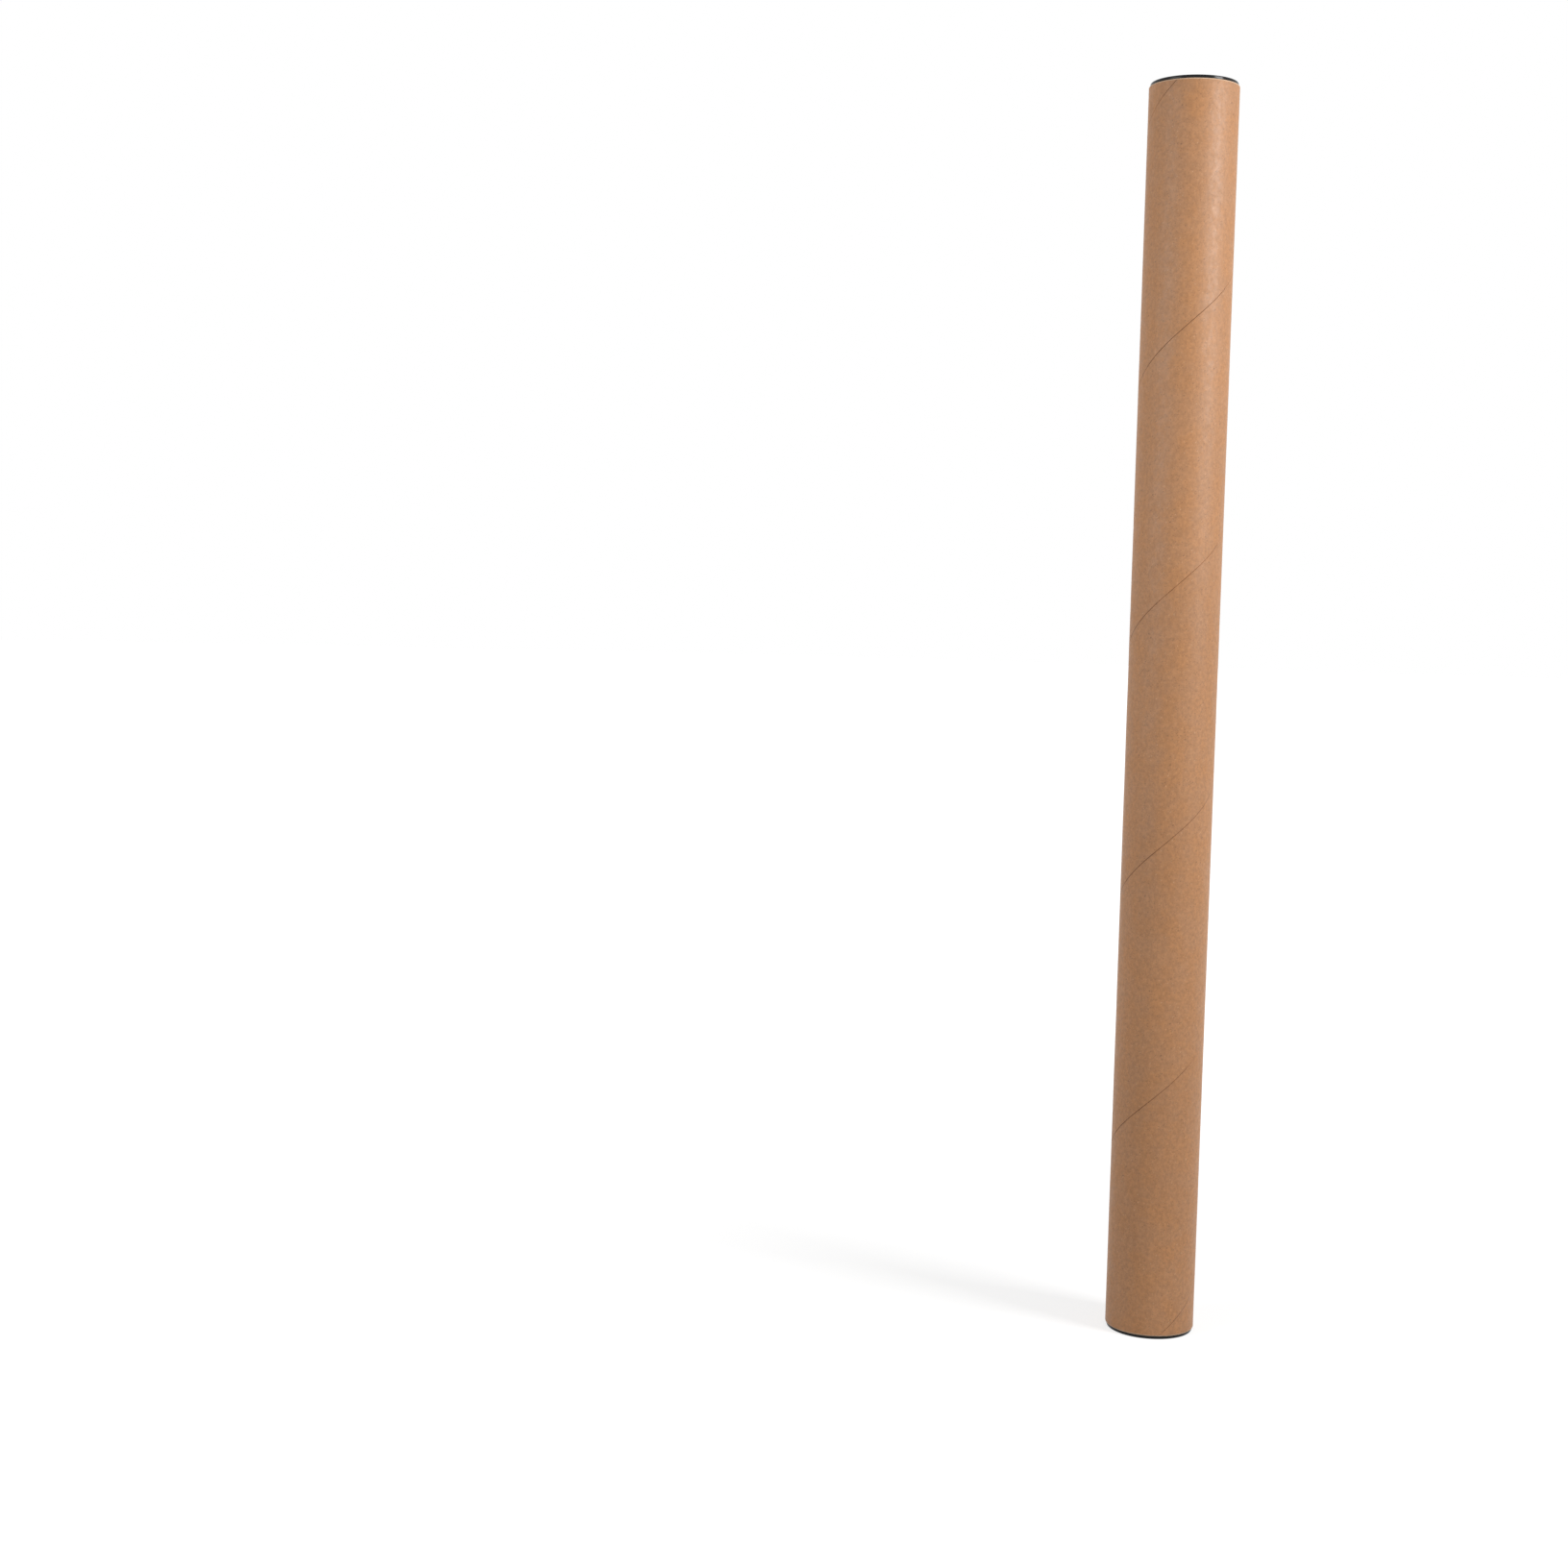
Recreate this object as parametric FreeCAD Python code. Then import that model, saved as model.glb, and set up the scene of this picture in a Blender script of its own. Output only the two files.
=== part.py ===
"""Cardboard mailing tube: a spirally wound paperboard tube with a moulded plug cap in each end.

The tube stands on its lower cap. Lengths are in millimetres, angles in degrees. +Z runs up the
tube's axis, and the origin is at the centre of the lower cap's flange, on the floor.
"""
import FreeCAD, Part
import math
import os

from FreeCAD import Vector

# Paperboard tube
tube_length = 609.6
bore_diameter = 38.1
tube_wall = 2.7

# Plies of the paperboard: strips wound side by side, whose edges meet in a helical seam
outer_strip_width = 91.9
outer_ply_thickness = 0.35
outer_seam_gap = 0.45
outer_seam_angle = 279.9
inner_strip_width = 88.0
inner_ply_thickness = 0.4
inner_seam_gap = 0.6
inner_seam_angle = 205.0

# Plug cap: flange, cup and the ridges that grip the bore
flange_thickness = 1.6
flange_setback = 0.6
flange_chamfer = 0.6
mouth_chamfer = 0.35
cap_wall = 1.95
recess_depth = 10.5
recess_draft = 3.0
recess_chamfer = 0.8
cap_floor_thickness = 1.7
nose_taper = 5.0
ridge_count = 2
ridge_height = 0.45
ridge_width = 1.4
ridge_spacing = 3.6
first_ridge_depth = 2.5
fit_clearance = 0.05

# Sizes that follow from the ones above
bore_radius = bore_diameter / 2
tube_radius = bore_radius + tube_wall
tube_foot = flange_thickness
tube_head = tube_foot + tube_length
flange_radius = tube_radius - flange_setback
ridge_radius = bore_radius - fit_clearance
skirt_radius = ridge_radius - ridge_height
mouth_radius = skirt_radius - cap_wall
plug_depth = recess_depth + cap_floor_thickness - flange_thickness


def seam_pitch(strip_width, radius):
    """Rise of one turn of a strip wound edge to edge round a cylinder of this radius."""
    circumference = 2 * math.pi * radius
    return strip_width / math.sqrt(1 - (strip_width / circumference) ** 2)


def seam_cutter(radius, depth, gap, strip_width, start_angle):
    """Helical bar that opens the seam between two turns of a ply in the face of this radius.

    Its section is a wedge that leaves a V as wide as the gap at the face, and reaches as far
    past the face as into it. The depth is negative where the ply lies outside its face, as in
    the bore. The bar starts below the tube's foot and ends above its head.
    """
    pitch = seam_pitch(strip_width, radius)
    overrun = 2 * gap
    helix = Part.makeHelix(pitch, tube_length + 2 * overrun, radius)
    gap_height = gap * pitch / strip_width
    tip = Vector(radius - depth, 0, 0)
    lower = Vector(radius + depth, 0, -gap_height)
    upper = Vector(radius + depth, 0, gap_height)
    section = Part.makePolygon([tip, lower, upper, tip])
    bar = Part.Wire(helix.Edges).makePipeShell([section], True, True)
    bar.rotate(Vector(), Vector(0, 0, 1), start_angle)
    bar.translate(Vector(0, 0, tube_foot - overrun))
    return bar


def paperboard_tube():
    """The wound tube, with the seams of its outer and inner plies."""
    base = Vector(0, 0, tube_foot)
    wall = Part.makeCylinder(tube_radius, tube_length, base)
    wall = wall.cut(Part.makeCylinder(bore_radius, tube_length, base))
    outer_seam = seam_cutter(
        tube_radius, outer_ply_thickness, outer_seam_gap, outer_strip_width, outer_seam_angle
    )
    inner_seam = seam_cutter(
        bore_radius, -inner_ply_thickness, inner_seam_gap, inner_strip_width, inner_seam_angle
    )
    return wall.cut(outer_seam).cut(inner_seam)


def chamfered(corners):
    """Outline through (point, chamfer) corners, each cut back by its chamfer along both sides."""
    points = []
    for index, (point, chamfer) in enumerate(corners):
        if chamfer:
            before = corners[index - 1][0]
            after = corners[index + 1][0]
            points.append(point + (before - point).normalize() * chamfer)
            points.append(point + (after - point).normalize() * chamfer)
        else:
            points.append(point)
    return points


def ridge_corners():
    """Corners of the sharp ridges round the skirt, from the flange down."""
    corners = []
    for index in range(ridge_count):
        crest = first_ridge_depth + index * ridge_spacing
        corners.append((Vector(skirt_radius, 0, -crest + ridge_width / 2), 0))
        corners.append((Vector(ridge_radius, 0, -crest), 0))
        corners.append((Vector(skirt_radius, 0, -crest - ridge_width / 2), 0))
    return corners


def plug_cap():
    """Moulded cap with its flange resting on the plane Z = 0 and its cup hanging below.

    The skirt is straight as far as its last ridge, and tapers from there to the cup's end.
    """
    recess_floor = flange_thickness - recess_depth
    recess_radius = mouth_radius - recess_depth * math.tan(math.radians(recess_draft))
    ridges = ridge_corners()
    nose_length = plug_depth + ridges[-1][0].z
    nose_radius = skirt_radius - nose_length * math.tan(math.radians(nose_taper))
    corners = [
        (Vector(0, 0, recess_floor), 0),
        (Vector(recess_radius, 0, recess_floor), recess_chamfer),
        (Vector(mouth_radius, 0, flange_thickness), mouth_chamfer),
        (Vector(flange_radius, 0, flange_thickness), flange_chamfer),
        (Vector(flange_radius, 0, 0), 0),
        (Vector(skirt_radius, 0, 0), 0),
        *ridges,
        (Vector(nose_radius, 0, -plug_depth), 0),
        (Vector(0, 0, -plug_depth), 0),
    ]
    points = chamfered(corners)
    profile = Part.Face(Part.makePolygon(points + points[:1]))
    return profile.revolve(Vector(), Vector(0, 0, 1), 360)


def placed_caps():
    """The same cap twice: upright in the tube's head, and turned over in its foot."""
    top_cap = plug_cap()
    top_cap.translate(Vector(0, 0, tube_head))
    bottom_cap = plug_cap()
    bottom_cap.rotate(Vector(), Vector(1, 0, 0), 180)
    bottom_cap.translate(Vector(0, 0, tube_foot))
    return {"top_cap": top_cap, "bottom_cap": bottom_cap}


def main():
    os.makedirs("parts", exist_ok=True)
    nodes = {"paperboard_tube": paperboard_tube()}
    nodes.update(placed_caps())
    for name, shape in nodes.items():
        shape.exportStep("parts/" + name + ".step")
        print(name, "valid", shape.isValid(), "solids", len(shape.Solids), "volume", round(shape.Volume, 2))


main()
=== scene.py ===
"""Looks of the cardboard mailing tube: spirally wound kraft paperboard and its two plug caps.

Lengths are in metres, written in millimetres times mm, and angles are in degrees. The tube stands
on the floor on its lower cap, with +Z up its axis and the camera on the -Y side.
"""

import math

import bmesh
import bpy
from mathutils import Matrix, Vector, noise


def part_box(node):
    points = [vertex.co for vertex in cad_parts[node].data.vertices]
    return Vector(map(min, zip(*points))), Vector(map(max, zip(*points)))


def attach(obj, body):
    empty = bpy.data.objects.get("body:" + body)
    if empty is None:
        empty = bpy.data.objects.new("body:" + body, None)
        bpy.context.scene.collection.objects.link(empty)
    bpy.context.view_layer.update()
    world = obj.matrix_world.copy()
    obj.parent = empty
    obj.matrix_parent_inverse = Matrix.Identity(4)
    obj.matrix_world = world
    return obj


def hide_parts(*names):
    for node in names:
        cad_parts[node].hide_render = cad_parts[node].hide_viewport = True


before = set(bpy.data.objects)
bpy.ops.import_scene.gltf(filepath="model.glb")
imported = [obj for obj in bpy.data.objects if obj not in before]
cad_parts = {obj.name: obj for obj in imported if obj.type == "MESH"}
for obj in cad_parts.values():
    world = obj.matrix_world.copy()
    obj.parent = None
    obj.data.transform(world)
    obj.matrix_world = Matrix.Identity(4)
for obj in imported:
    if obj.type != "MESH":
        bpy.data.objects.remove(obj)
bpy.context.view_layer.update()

mm = 0.001

# Tube: its height and outer radius come from the frame
tube_low, tube_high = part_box("paperboard_tube")
tube_foot = tube_low.z
tube_head = tube_high.z
tube_radius = tube_high.x
tube_wall = 2.7 * mm
bore_radius = tube_radius - tube_wall
ply_count = 7
ply_thickness = tube_wall / ply_count
glue_line_width = 0.03 * mm
glue_line_depth = 0.05 * mm
wall_middle = (tube_radius + bore_radius) / 2
cut_edge_round = 0.6 * mm
cut_edge_levels = (0.08 * mm, 0.24 * mm, cut_edge_round)
cut_edge_reach = 1.01 * cut_edge_round

# Strips wound into the tube's outer face and its bore
outer_strip_width = 91.9 * mm
outer_seam_gap = 0.35 * mm
outer_seam_depth = 0.2 * mm
outer_seam_angle = 279.9
inner_strip_width = 88.0 * mm
inner_seam_gap = 0.6 * mm
inner_seam_depth = 0.35 * mm
inner_seam_angle = 205.0
curl_height = 0.02 * mm
curl_reach = 0.5 * mm
curl_row_shares = (0, 0.4, 1, 2, 4)
under_seam_offset = 13.5 * mm
under_seam_depth = 0.03 * mm
under_seam_reach = 0.8 * mm
under_seam_row_shares = (-2, -1, 0, 1, 2)
wave_height = 0.045 * mm
wave_length = 24 * mm
grid_columns = 160
grid_row_spacing = 6 * mm
merge_distance = 0.0001 * mm
level_tolerance = 0.001 * mm
tube_sharp_angle = 32

# Plug caps
cap_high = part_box("bottom_cap")[1]
flange_radius = cap_high.x
flange_thickness = tube_foot
flange_round = 0.6 * mm
seat_round = 0.2 * mm
mouth_round = 0.35 * mm
cap_wall = 1.95 * mm
recess_depth = 10.5 * mm
recess_draft = 3.0
recess_round = 1.3 * mm
cap_floor_thickness = 1.7 * mm
nose_taper = 5.0
nose_round = 0.5 * mm
ridge_count = 2
ridge_height = 0.45 * mm
ridge_width = 1.4 * mm
ridge_spacing = 3.6 * mm
ridge_round = 0.25 * mm
first_ridge_depth = 2.5 * mm
fit_clearance = 0.05 * mm
gate_radius = 1.1 * mm
gate_height = 0.3 * mm
gate_round = 0.1 * mm
gate_dish_radius = 3.0 * mm
gate_dish_depth = 0.35 * mm
cap_segments = 160
cap_sharp_angle = 40
arc_step = 12.0

# Colours: linear red, green and blue, and alpha
outer_paper_warm = (0.530, 0.247, 0.100, 1)
outer_paper_cool = (0.518, 0.253, 0.115, 1)
bore_paper_warm = (0.455, 0.215, 0.092, 1)
bore_paper_cool = (0.425, 0.215, 0.105, 1)
fleck_colour = (0.70, 0.43, 0.25, 1)
cut_end_dark = (0.77, 0.52, 0.34, 1)
cut_end_light = (0.83, 0.59, 0.41, 1)
plastic_dark = (0.0065, 0.0060, 0.0063, 1)
plastic_light = (0.0095, 0.0088, 0.0092, 1)
white = (1, 1, 1, 1)

# Fineness of the textures: cells in each metre, along the object's axes
paper_clouds = (110, 110, 80)
paper_drift = (24, 24, 12)
paper_mottle = (620, 620, 540)
paper_sheen = (420, 420, 300)
cut_tufts = (2600, 2600, 400)
cut_patches = (500, 500, 100)
plastic_grain = (3200, 3200, 3200)
plastic_flow = (90, 90, 260)
plastic_scuffs = (260, 2400, 260)
floor_clouds = (3, 3, 3)

# The same for textures that follow the paper: cells in each metre along and across the strip
paper_streaks = (6, 700, 1)
paper_fibres = (1100, 2900, 1)
large_dark_specks = (260, 430, 1)
small_dark_specks = (700, 900, 1)
large_light_flecks = (300, 560, 1)
small_light_flecks = (620, 980, 1)
seam_patchiness = (21, 21, 1)

# Relief of the textures, from their lowest to their highest
paper_relief = 0.06 * mm
cut_relief = 0.09 * mm
plastic_relief = 0.008 * mm

# Painted light: how much the seam's painted dark line fades in each metre along +X, towards the key
# lamp on the camera's right, on the scale of its patches
seam_painted_shade_fade = 2.5

# Reflection of the surfaces
paper_ior = 1.6
plastic_specular = 0.22

# Light and floor
surround_light = 0.24
floor_radius = 12.0
floor_segments = 64
shadow_reach = 0.9
floor_glow_near = 0.70
floor_glow_far = 1.0

# Camera, fitted to the photograph
camera_lens = 52.433
camera_place = (0, -1.14037, 0.36204)
camera_turn = (86.2259, -1.4739, 9.7105)
camera_shift = -0.02583


class WoundFace:
    """The outer face or the bore of the tube: one strip, wound edge to edge into a helix."""

    def __init__(self, radius, into_wall, strip_width, seam_gap, seam_depth, seam_angle):
        self.radius = radius
        self.into_wall = into_wall
        self.strip_width = strip_width
        self.seam_gap = seam_gap
        self.seam_depth = seam_depth
        self.start = math.radians(seam_angle)
        self.seam_foot = tube_foot - 2 * seam_gap
        self.slope_cosine = math.sqrt(1 - (strip_width / (2 * math.pi * radius)) ** 2)
        self.pitch = strip_width / self.slope_cosine
        self.slope_tangent = self.pitch / (2 * math.pi * radius)

    def seam_height(self, turn):
        """Height of the seam after so many turns of the helix."""
        return self.seam_foot + self.pitch * turn

    def lift(self, across):
        """Height of the paper off the face, at a distance across the strip from its lower edge."""
        from_edge = min(across, self.strip_width - across)
        half_gap = self.seam_gap / 2
        if from_edge < half_gap:
            return -self.seam_depth * (1 - from_edge / half_gap)
        curl = 0.0
        if across < self.strip_width / 2:
            curl = curl_height * math.exp(-(from_edge - half_gap) / curl_reach)
        off_line = (across - under_seam_offset) / under_seam_reach
        return curl - under_seam_depth * math.exp(-off_line * off_line)

    def row_places(self):
        """Distances across the strip of the grid's rows: close at its edges and the under seam."""
        half_gap = self.seam_gap / 2
        near_edge = [half_gap + share * curl_reach for share in curl_row_shares]
        far_edge = [self.strip_width - place for place in near_edge]
        near_line = [
            under_seam_offset + share * under_seam_reach for share in under_seam_row_shares
        ]
        places = [0.0] + near_edge + far_edge + near_line
        count = round(self.strip_width / grid_row_spacing)
        for step in range(1, count):
            place = self.strip_width * step / count
            if min(abs(place - other) for other in places) > grid_row_spacing / 3:
                places.append(place)
        return sorted(places)

    def point(self, turn, across):
        """Point of the face at so many turns along the seam, and at a distance across the strip."""
        angle = self.start + 2 * math.pi * turn
        height = self.seam_height(turn) + across / self.slope_cosine
        flat = Vector((math.cos(angle), math.sin(angle), 0)) * self.radius
        wave = wave_height * noise.noise((flat + Vector((0, 0, height))) / wave_length)
        radius = self.radius - self.into_wall * (self.lift(across) + wave)
        return Vector((radius * math.cos(angle), radius * math.sin(angle), height))

    def strip_place(self, point, near):
        """Lengths along and across the strip of a point, in the turn where the point near lies."""
        turns_near = (math.atan2(near.y, near.x) - self.start) / (2 * math.pi)
        turns = (math.atan2(point.y, point.x) - self.start) / (2 * math.pi)
        turns += round(turns_near - turns)
        turns += math.floor((near.z - self.seam_height(turns_near)) / self.pitch)
        across = (point.z - self.seam_height(turns)) * self.slope_cosine
        along = turns * 2 * math.pi * self.radius / self.slope_cosine + across * self.slope_tangent
        return along, across

    def add_grid(self, mesh):
        """Adds the face, as rows of quads along the seam, from below the foot to above the head."""
        places = self.row_places()
        last_turn = math.ceil((tube_head - self.seam_foot) / self.pitch) + 1
        rows = []
        for whole_turn in range(-1, last_turn):
            for across in places:
                row = []
                for column in range(grid_columns):
                    turn = whole_turn + column / grid_columns
                    row.append(mesh.verts.new(self.point(turn, across)))
                rows.append(row)
        for index in range(len(rows) - 1):
            lower = list(rows[index])
            upper = list(rows[index + 1])
            after = index + len(places)
            if after + 1 < len(rows):
                lower.append(rows[after][0])
                upper.append(rows[after + 1][0])
            for column in range(len(lower) - 1):
                corners = (lower[column], lower[column + 1], upper[column + 1], upper[column])
                mesh.faces.new(corners)


outer_face = WoundFace(
    tube_radius, -1, outer_strip_width, outer_seam_gap, outer_seam_depth, outer_seam_angle
)
bore_face = WoundFace(
    bore_radius, 1, inner_strip_width, inner_seam_gap, inner_seam_depth, inner_seam_angle
)


def distance_from_axis(point):
    return math.hypot(point.x, point.y)


def cut_level(mesh, height, remove=0):
    """Cuts the mesh at this height. Removes what is above it (1), below it (-1) or nothing (0)."""
    bmesh.ops.bisect_plane(
        mesh,
        geom=mesh.verts[:] + mesh.edges[:] + mesh.faces[:],
        dist=merge_distance,
        plane_co=(0, 0, height),
        plane_no=(0, 0, 1),
        clear_outer=remove > 0,
        clear_inner=remove < 0,
    )


def round_cut_edges(mesh):
    """Rounds both edges of the wall at the tube's foot and head, apart from the seams' bottoms."""
    for vertex in mesh.verts:
        from_end = min(vertex.co.z - tube_foot, tube_head - vertex.co.z)
        if from_end > cut_edge_round:
            continue
        rise = cut_edge_round - max(0.0, from_end)
        inset = cut_edge_round - math.sqrt(cut_edge_round**2 - rise**2)
        radius = distance_from_axis(vertex.co)
        face = outer_face if radius > wall_middle else bore_face
        sunk = abs(radius - face.radius)
        moved = radius + face.into_wall * max(0.0, inset - sunk)
        vertex.co.x *= moved / radius
        vertex.co.y *= moved / radius


def add_ring(mesh, radius, height, columns, sense=1):
    """Adds a closed ring of vertices, seen from above anticlockwise (1) or clockwise (-1)."""
    ring = []
    for column in range(columns):
        angle = sense * 2 * math.pi * column / columns
        ring.append(mesh.verts.new((radius * math.cos(angle), radius * math.sin(angle), height)))
    return ring


def join_rings(mesh, first, second):
    """Adds the band of quads between two rings."""
    for column in range(len(first)):
        after = (column + 1) % len(first)
        mesh.faces.new((first[column], first[after], second[after], second[column]))


def join_in_turn(mesh, rings):
    """Joins each ring to the next one."""
    for first, second in zip(rings, rings[1:]):
        join_rings(mesh, first, second)


def close_end(mesh, height, into_tube):
    """Closes the wall's end with a cut face.

    It has a fine groove where two plies meet, apart from those in the rounding of its edges.
    """
    rings = []
    for line in range(1, ply_count):
        radius = bore_radius + line * ply_thickness
        if min(radius - bore_radius, tube_radius - radius) < cut_edge_round + glue_line_width:
            continue
        for side, depth in ((-0.5, 0), (0, glue_line_depth), (0.5, 0)):
            place = radius + side * glue_line_width
            rings.append(add_ring(mesh, place, height + into_tube * depth, grid_columns))
    join_in_turn(mesh, rings)
    inner_edges = []
    outer_edges = []
    for edge in mesh.edges:
        level = all(abs(vertex.co.z - height) < level_tolerance for vertex in edge.verts)
        if edge.is_boundary and level:
            inner = distance_from_axis(edge.verts[0].co) < wall_middle
            edges = inner_edges if inner else outer_edges
            edges.append(edge)
    for edges in (inner_edges, outer_edges):
        bmesh.ops.triangle_fill(mesh, edges=edges, use_beauty=True, normal=(0, 0, 1))


def lay_strip_map(mesh):
    """Gives each face its material, and maps it in metres along and across the strip.

    The materials are the outer paper (0), the bore's paper (1) and the cut end with its rounded
    edges (2), which is mapped straight down instead.
    """
    strip_map = mesh.loops.layers.uv.new("strip")
    for face in mesh.faces:
        centre = face.calc_center_median()
        on_end = all(
            min(abs(vertex.co.z - tube_foot), abs(vertex.co.z - tube_head)) < cut_edge_reach
            for vertex in face.verts
        )
        on_bore = distance_from_axis(centre) < wall_middle
        face.material_index = 2 if on_end else int(on_bore)
        wound = bore_face if on_bore else outer_face
        for loop in face.loops:
            place = loop.vert.co
            if on_end:
                loop[strip_map].uv = (place.x, place.y)
            else:
                loop[strip_map].uv = wound.strip_place(place, centre)


def paperboard_tube_mesh():
    """The wound tube: both faces as grids past its ends, cut to length, rounded and closed."""
    mesh = bmesh.new()
    outer_face.add_grid(mesh)
    bore_face.add_grid(mesh)
    cut_level(mesh, tube_foot, remove=-1)
    cut_level(mesh, tube_head, remove=1)
    for level in cut_edge_levels:
        cut_level(mesh, tube_foot + level)
        cut_level(mesh, tube_head - level)
    round_cut_edges(mesh)
    close_end(mesh, tube_foot, 1)
    close_end(mesh, tube_head, -1)
    bmesh.ops.recalc_face_normals(mesh, faces=mesh.faces[:])
    lay_strip_map(mesh)
    return mesh


def rounded_outline(corners):
    """Points of an outline through (radius, height, rounding) corners, with arcs at the corners."""
    points = []
    for index, (x, z, rounding) in enumerate(corners):
        corner = Vector((x, z))
        if not rounding:
            points.append(corner)
            continue
        before = (Vector(corners[index - 1][:2]) - corner).normalized()
        after = (Vector(corners[index + 1][:2]) - corner).normalized()
        opening = before.angle(after)
        turn = math.pi - opening
        centre = corner + (before + after).normalized() * rounding / math.sin(opening / 2)
        start = corner + before * rounding / math.tan(opening / 2) - centre
        sense = 1 if before.cross(after) < 0 else -1
        steps = max(2, math.ceil(math.degrees(turn) / arc_step))
        for step in range(steps + 1):
            swing = sense * turn * step / steps
            spoke = Vector((
                start.x * math.cos(swing) - start.y * math.sin(swing),
                start.x * math.sin(swing) + start.y * math.cos(swing),
            ))
            points.append(centre + spoke)
    return points


def cap_outline():
    """Half section of a cap whose flange rests on the height 0 with the cup hanging below it."""
    ridge_radius = bore_radius - fit_clearance
    skirt_radius = ridge_radius - ridge_height
    mouth_radius = skirt_radius - cap_wall
    recess_floor = flange_thickness - recess_depth
    recess_radius = mouth_radius - recess_depth * math.tan(math.radians(recess_draft))
    nose = recess_floor - cap_floor_thickness
    last_ridge = first_ridge_depth + (ridge_count - 1) * ridge_spacing + ridge_width / 2
    nose_radius = skirt_radius + (nose + last_ridge) * math.tan(math.radians(nose_taper))
    corners = [
        (0, recess_floor, 0),
        (recess_radius, recess_floor, recess_round),
        (mouth_radius, flange_thickness, mouth_round),
        (flange_radius, flange_thickness, flange_round),
        (flange_radius, 0, seat_round),
        (skirt_radius, 0, 0),
    ]
    for index in range(ridge_count):
        crest = first_ridge_depth + index * ridge_spacing
        corners.append((skirt_radius, -crest + ridge_width / 2, 0))
        corners.append((ridge_radius, -crest, ridge_round))
        corners.append((skirt_radius, -crest - ridge_width / 2, 0))
    corners += [
        (nose_radius, nose, nose_round),
        (gate_dish_radius, nose, 0),
        (gate_dish_radius - gate_dish_depth, nose + gate_dish_depth, 0),
        (gate_radius, nose + gate_dish_depth, 0),
        (gate_radius, nose + gate_dish_depth - gate_height, gate_round),
        (0, nose + gate_dish_depth - gate_height, 0),
    ]
    return rounded_outline(corners)


def cap_mesh(height, upward):
    """A cap turned from its outline, seated at this height, facing up (1) or down (-1)."""
    mesh = bmesh.new()
    outline = cap_outline()
    rings = []
    for point in outline[1:-1]:
        level = height + upward * point.y
        rings.append(add_ring(mesh, point.x, level, cap_segments, upward))
    join_in_turn(mesh, rings)
    for ring, point in ((rings[0], outline[0]), (rings[-1], outline[-1])):
        pole = mesh.verts.new((0, 0, height + upward * point.y))
        for segment in range(cap_segments):
            mesh.faces.new((ring[segment - 1], ring[segment], pole))
    bmesh.ops.recalc_face_normals(mesh, faces=mesh.faces[:])
    return mesh


class Shader:
    """A material's node tree, built by short calls."""

    def __init__(self, name):
        self.material = bpy.data.materials.new(name)
        self.material.use_nodes = True
        self.tree = self.material.node_tree
        self.surface = self.tree.nodes["Principled BSDF"]

    def add(self, kind, inputs=None, **settings):
        """Adds a node, sets its options, and sets or links its inputs."""
        node = self.tree.nodes.new(kind)
        for name, value in settings.items():
            setattr(node, name, value)
        for name, value in (inputs or {}).items():
            self.put(node.inputs[name], value)
        return node

    def put(self, socket, value):
        """Sets a socket to a value, or links it to another node's socket."""
        if isinstance(value, bpy.types.NodeSocket):
            self.tree.links.new(value, socket)
        else:
            socket.default_value = value

    def scaled(self, place, scale):
        """Coordinates multiplied along each axis."""
        return self.add(
            "ShaderNodeVectorMath", {0: place, 1: scale}, operation="MULTIPLY"
        ).outputs[0]

    def noise(self, place, scale, detail=2.0, roughness=0.5):
        """Noise about 0.5, with this many cells in each metre along each axis."""
        node = self.add(
            "ShaderNodeTexNoise",
            {"Vector": self.scaled(place, scale), "Scale": 1.0, "Detail": detail,
             "Roughness": roughness},
        )
        return node.outputs["Fac"]

    def cells(self, place, scale):
        """Distance to the nearest of scattered points, and a random value of that point."""
        node = self.add(
            "ShaderNodeTexVoronoi", {"Vector": self.scaled(place, scale), "Scale": 1.0}
        )
        return node.outputs["Distance"], node.outputs["Color"]

    def specks(self, place, scale, rarity, size):
        """Mask of small round specks, one at most in each cell, in a share of the cells."""
        distance, choice = self.cells(place, scale)
        chosen = self.ramp(choice, rarity, rarity + 0.06)
        return self.math("MULTIPLY", chosen, self.ramp(distance, size / 2, size, 1.0, 0.0))

    def length(self, place):
        """Distance of a place from the origin."""
        return self.add("ShaderNodeVectorMath", {0: place}, operation="LENGTH").outputs["Value"]

    def math(self, operation, first, second=0.0):
        """Result of a sum, product or the like of one or two values."""
        return self.add(
            "ShaderNodeMath", {0: first, 1: second}, operation=operation
        ).outputs[0]

    def ramp(self, value, low, high, start=0.0, end=1.0):
        """Turns a range of a value smoothly into another range, and holds it at both ends."""
        return self.add(
            "ShaderNodeMapRange",
            {"Value": value, "From Min": low, "From Max": high, "To Min": start, "To Max": end},
            interpolation_type="SMOOTHSTEP",
        ).outputs["Result"]

    def mix(self, share, first, second):
        """Colour between the first, at a share of 0, and the second, at a share of 1."""
        return self.blend(share, first, second, "MIX")

    def shade(self, colour, amount):
        """Colour made lighter or darker by a grey amount."""
        grey = self.add("ShaderNodeCombineColor", {0: amount, 1: amount, 2: amount}).outputs[0]
        return self.blend(1.0, colour, grey, "MULTIPLY")

    def blend(self, share, first, second, blend_type):
        """Mixes two colours. A mix node's colour sockets are inputs 6 and 7 and output 2."""
        node = self.add("ShaderNodeMix", data_type="RGBA", blend_type=blend_type)
        self.put(node.inputs["Factor"], share)
        self.put(node.inputs[6], first)
        self.put(node.inputs[7], second)
        return node.outputs[2]

    def bump(self, height, distance):
        """Raises the surface by a height of 0 to 1 times the distance."""
        node = self.add("ShaderNodeBump", {"Height": height, "Distance": distance, "Strength": 1.0})
        self.set_surface("Normal", node.outputs["Normal"])

    def set_surface(self, name, value):
        """Sets or links an input of the surface."""
        self.put(self.surface.inputs[name], value)


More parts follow.
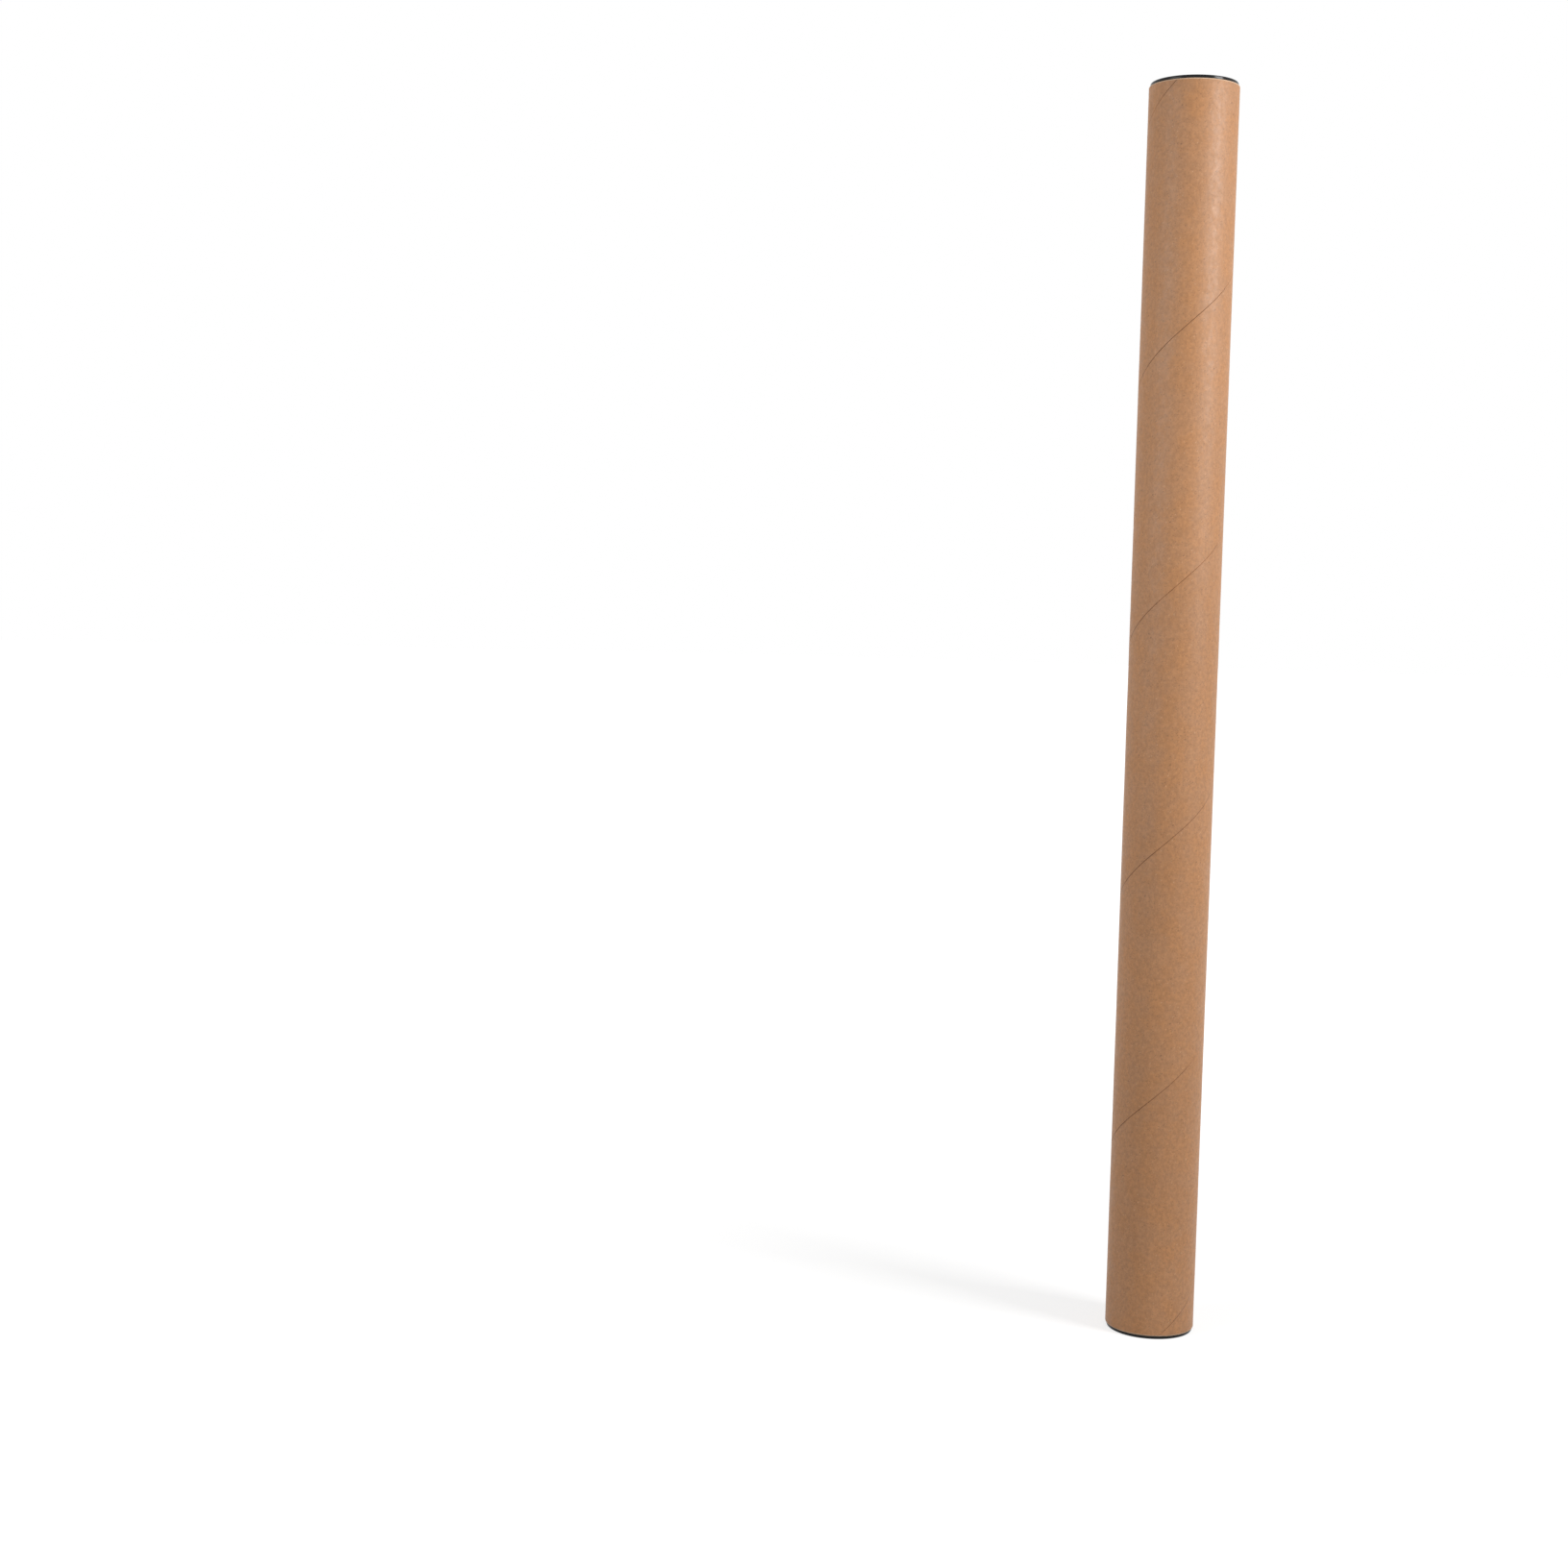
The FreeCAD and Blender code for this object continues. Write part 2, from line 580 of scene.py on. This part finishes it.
def seam_shade(shader, across, face, patches):
    """Value that is 0 in the dark line of the seam, 1 off it, and near 1 where it is tight and on
    its painted lit side. The line is partly the seam's own gap and partly painted shade in its
    groove.
    """
    far_edge = shader.math("SUBTRACT", face.strip_width, across)
    from_edge = shader.math("MINIMUM", shader.math("ABSOLUTE", across), far_edge)
    line = shader.ramp(from_edge, face.seam_gap * 0.2, face.seam_gap * 0.7)
    # High patches fade the line: where the seam is tight, and where painted light takes its shade
    # away.
    tightness_and_painted_light = shader.ramp(patches, 0.42, 0.64, 0.0, 0.85)
    return shader.math("MAXIMUM", line, tightness_and_painted_light)


def kraft_paper(name, face, warm, cool):
    """Kraft paper: clouded tone, fibres along the strip, specks, flecks, and the seam's line,
    partly painted shade.
    """
    shader = Shader(name)
    strip = shader.add("ShaderNodeUVMap", uv_map="strip").outputs[0]
    place = shader.add("ShaderNodeTexCoord").outputs["Object"]
    across = shader.add("ShaderNodeSeparateXYZ", {0: strip}).outputs["Y"]

    clouds = shader.noise(place, paper_clouds, detail=3.0, roughness=0.55)
    colour = shader.mix(shader.ramp(clouds, 0.34, 0.66), warm, cool)
    drift = shader.noise(place, paper_drift, detail=1.0)
    mottle = shader.noise(place, paper_mottle, detail=5.0, roughness=0.7)
    streaks = shader.noise(strip, paper_streaks, detail=2.0)
    fibres = shader.noise(strip, paper_fibres, detail=2.0, roughness=0.55)
    large_specks = shader.specks(strip, large_dark_specks, rarity=0.74, size=0.17)
    small_specks = shader.specks(strip, small_dark_specks, rarity=0.5, size=0.3)

    tone = shader.ramp(drift, 0.3, 0.7, 0.965, 1.035)
    for texture, low, high, at_low, at_high in (
        (mottle, 0.28, 0.72, 0.86, 1.14),
        (streaks, 0.3, 0.7, 0.99, 1.01),
        (fibres, 0.60, 0.74, 1.0, 1.14),
        (fibres, 0.26, 0.40, 0.92, 1.0),
        (large_specks, 0.0, 1.0, 1.0, 0.6),
        (small_specks, 0.0, 1.0, 1.0, 0.76),
    ):
        tone = shader.math("MULTIPLY", tone, shader.ramp(texture, low, high, at_low, at_high))

    for cells, rarity, size, share in (
        (large_light_flecks, 0.62, 0.16, 0.6),
        (small_light_flecks, 0.55, 0.22, 0.45),
    ):
        flecks = shader.specks(strip, cells, rarity, size)
        colour = shader.mix(shader.math("MULTIPLY", flecks, share), colour, fleck_colour)

    patches = shader.noise(strip, seam_patchiness, detail=2.0)
    # Painted light: the patches rise along +X, so the seam's painted shade fades towards the key
    # lamp.
    to_right = shader.add("ShaderNodeSeparateXYZ", {0: place}).outputs["X"]
    patches = shader.math("ADD", patches, shader.math("MULTIPLY", to_right, seam_painted_shade_fade))
    seam = seam_shade(shader, across, face, patches)
    # The seam's line, partly painted shade, darkens the tone by up to half.
    tone = shader.math("MULTIPLY", tone, shader.ramp(seam, 0.0, 1.0, 0.5, 1.0))
    shader.set_surface("Base Color", shader.shade(colour, tone))

    sheen = shader.noise(place, paper_sheen, detail=3.0)
    shader.set_surface("Roughness", shader.ramp(sheen, 0.3, 0.7, 0.50, 0.60))
    relief = shader.math("MULTIPLY", mottle, 0.6)
    relief = shader.math("ADD", relief, shader.math("MULTIPLY", fibres, 0.4))
    shader.bump(relief, paper_relief)
    shader.set_surface("IOR", paper_ior)
    return shader.material


def cut_paperboard():
    """Cut end of the wall: pale torn fibres in plies, with a darker glue line between each two."""
    shader = Shader("cut_paperboard_end")
    place = shader.add("ShaderNodeTexCoord").outputs["Object"]
    parts = shader.add("ShaderNodeSeparateXYZ", {0: place}).outputs
    flat = shader.add("ShaderNodeCombineXYZ", {0: parts["X"], 1: parts["Y"]}).outputs[0]
    radius = shader.length(flat)
    plies = shader.math("DIVIDE", shader.math("SUBTRACT", radius, bore_radius), ply_thickness)
    plies = shader.math("MINIMUM", shader.math("MAXIMUM", plies, 0.5), ply_count - 0.5)
    in_ply = shader.math("FRACT", plies)
    from_line = shader.math("MINIMUM", in_ply, shader.math("SUBTRACT", 1.0, in_ply))
    tufts = shader.noise(place, cut_tufts, detail=3.0, roughness=0.6)
    patches = shader.noise(place, cut_patches, detail=2.0)
    colour = shader.mix(shader.ramp(patches, 0.3, 0.7), cut_end_dark, cut_end_light)
    tone = shader.ramp(tufts, 0.25, 0.75, 0.82, 1.12)
    tone = shader.math("MULTIPLY", tone, shader.ramp(from_line, 0.02, 0.16, 0.6, 1.0))
    shader.set_surface("Base Color", shader.shade(colour, tone))
    shader.set_surface("Roughness", shader.ramp(tufts, 0.3, 0.7, 0.75, 0.9))
    shader.bump(tufts, cut_relief)
    return shader.material


def black_plastic():
    """Black moulded plastic: satin, with the fine grain of its mould, flow marks and scuffs."""
    shader = Shader("black_moulded_plastic")
    place = shader.add("ShaderNodeTexCoord").outputs["Object"]
    grain = shader.noise(place, plastic_grain, detail=2.0, roughness=0.6)
    flow = shader.noise(place, plastic_flow, detail=3.0)
    scuffs = shader.noise(place, plastic_scuffs, detail=2.0)
    colour = shader.mix(shader.ramp(flow, 0.3, 0.7), plastic_dark, plastic_light)
    tone = shader.ramp(scuffs, 0.66, 0.78, 1.0, 1.35)
    shader.set_surface("Base Color", shader.shade(colour, tone))
    flow_roughness = shader.math("MULTIPLY", flow, 0.12)
    grain_roughness = shader.math("MULTIPLY", grain, 0.06)
    roughness = shader.math("ADD", flow_roughness, grain_roughness)
    shader.set_surface("Roughness", shader.math("ADD", roughness, 0.08))
    shader.bump(grain, plastic_relief)
    shader.set_surface("Specular IOR Level", plastic_specular)
    return shader.material


def add_piece(name, mesh, materials, node, body, sharp_angle):
    """Adds a piece of the object, which stands for a node of the frame and moves with its body."""
    data = bpy.data.meshes.new(name)
    mesh.to_mesh(data)
    mesh.free()
    for material in materials:
        data.materials.append(material)
    data.shade_smooth()
    data.set_sharp_from_angle(angle=math.radians(sharp_angle))
    piece = bpy.data.objects.new(name, data)
    bpy.context.scene.collection.objects.link(piece)
    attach(piece, body)
    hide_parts(node)


def add_tube():
    """The tube, with its three materials in the order that its faces number them."""
    papers = [
        kraft_paper("kraft_outer_ply", outer_face, outer_paper_warm, outer_paper_cool),
        kraft_paper("kraft_inner_ply", bore_face, bore_paper_warm, bore_paper_cool),
        cut_paperboard(),
    ]
    add_piece(
        "kraft_tube", paperboard_tube_mesh(), papers,
        node="paperboard_tube", body="tube", sharp_angle=tube_sharp_angle,
    )


def add_caps():
    """The same cap twice: upright in the tube's head, and turned over in its foot."""
    plastic = black_plastic()
    for name, node, height, upward in (
        ("upper_plug_cap", "top_cap", tube_head, 1),
        ("lower_plug_cap", "bottom_cap", tube_foot, -1),
    ):
        add_piece(
            name, cap_mesh(height, upward), [plastic],
            node=node, body=node, sharp_angle=cap_sharp_angle,
        )


def round_the_tube(azimuth, distance, height):
    """Point at a distance from the axis, at degrees to the right of the camera's side of it."""
    swing = math.radians(azimuth)
    return Vector((distance * math.sin(swing), -distance * math.cos(swing), height))


def add_softbox(name, azimuth, distance, height, width, length, power, aim_height):
    """Adds a rectangular lamp that faces the tube's axis at a height."""
    lamp = bpy.data.lights.new(name, "AREA")
    lamp.shape = "RECTANGLE"
    lamp.size = width
    lamp.size_y = length
    lamp.energy = power
    holder = bpy.data.objects.new(name, lamp)
    place = round_the_tube(azimuth, distance, height)
    aim = Vector((0, 0, aim_height)) - place
    holder.location = place
    holder.rotation_euler = aim.to_track_quat("-Z", "Y").to_euler()
    bpy.context.scene.collection.objects.link(holder)


def add_lamps():
    """A strong lamp to the right of the camera and a weak one to the left."""
    add_softbox(
        "key_softbox", azimuth=65, distance=0.76, height=0.72, width=0.30, length=0.38, power=5.4,
        aim_height=0.48,
    )
    add_softbox(
        "fill_softbox", azimuth=-50, distance=0.62, height=0.54, width=0.30, length=0.46, power=1.4,
        aim_height=0.48,
    )


def lay_floor():
    """A wide pale floor, which the camera sees as white where no shadow falls on it."""
    data = bpy.data.meshes.new("floor")
    mesh = bmesh.new()
    bmesh.ops.create_circle(mesh, cap_ends=True, radius=floor_radius, segments=floor_segments)
    mesh.to_mesh(data)
    mesh.free()
    floor = bpy.data.objects.new("floor", data)
    bpy.context.scene.collection.objects.link(floor)
    shader = Shader("pale_floor")
    place = shader.add("ShaderNodeTexCoord").outputs["Object"]
    away = shader.length(place)
    rays = shader.add("ShaderNodeLightPath").outputs
    seen = shader.math("MAXIMUM", rays["Is Camera Ray"], rays["Is Glossy Ray"])
    seen = shader.math("MAXIMUM", seen, rays["Is Transmission Ray"])
    brightness = shader.ramp(away, 0.0, shadow_reach, floor_glow_near, floor_glow_far)
    glow = shader.math("MULTIPLY", seen, brightness)
    tint = shader.ramp(shader.noise(place, floor_clouds), 0.0, 1.0, 0.54, 0.56)
    shader.set_surface("Base Color", shader.shade(white, tint))
    shader.set_surface("Roughness", 1.0)
    shader.set_surface("Specular IOR Level", 0.0)
    shader.set_surface("Emission Color", white)
    shader.set_surface("Emission Strength", glow)
    data.materials.append(shader.material)


def light_world():
    """A white surround for the camera and for reflections. A dimmer one lights the tube."""
    world = bpy.data.worlds.new("white_surround")
    world.use_nodes = True
    bpy.context.scene.world = world
    nodes = world.node_tree.nodes
    links = world.node_tree.links
    rays = nodes.new("ShaderNodeLightPath").outputs
    seen = rays["Is Camera Ray"]
    for ray in ("Is Glossy Ray", "Is Transmission Ray"):
        either = nodes.new("ShaderNodeMath")
        either.operation = "MAXIMUM"
        links.new(seen, either.inputs[0])
        links.new(rays[ray], either.inputs[1])
        seen = either.outputs[0]
    strength = nodes.new("ShaderNodeMapRange")
    links.new(seen, strength.inputs["Value"])
    strength.inputs["To Min"].default_value = surround_light
    background = nodes["Background"]
    background.inputs["Color"].default_value = white
    links.new(strength.outputs["Result"], background.inputs["Strength"])


def add_camera():
    """The camera of the photograph, in the tube's frame."""
    camera = bpy.data.cameras.new("photo_camera")
    camera.lens = camera_lens
    camera.shift_y = camera_shift
    holder = bpy.data.objects.new("photo_camera", camera)
    holder.location = camera_place
    holder.rotation_euler = [math.radians(turn) for turn in camera_turn]
    bpy.context.scene.collection.objects.link(holder)
    bpy.context.scene.camera = holder


bpy.context.scene.view_settings.view_transform = "Standard"
add_camera()
add_tube()
add_caps()
lay_floor()
add_lamps()
light_world()
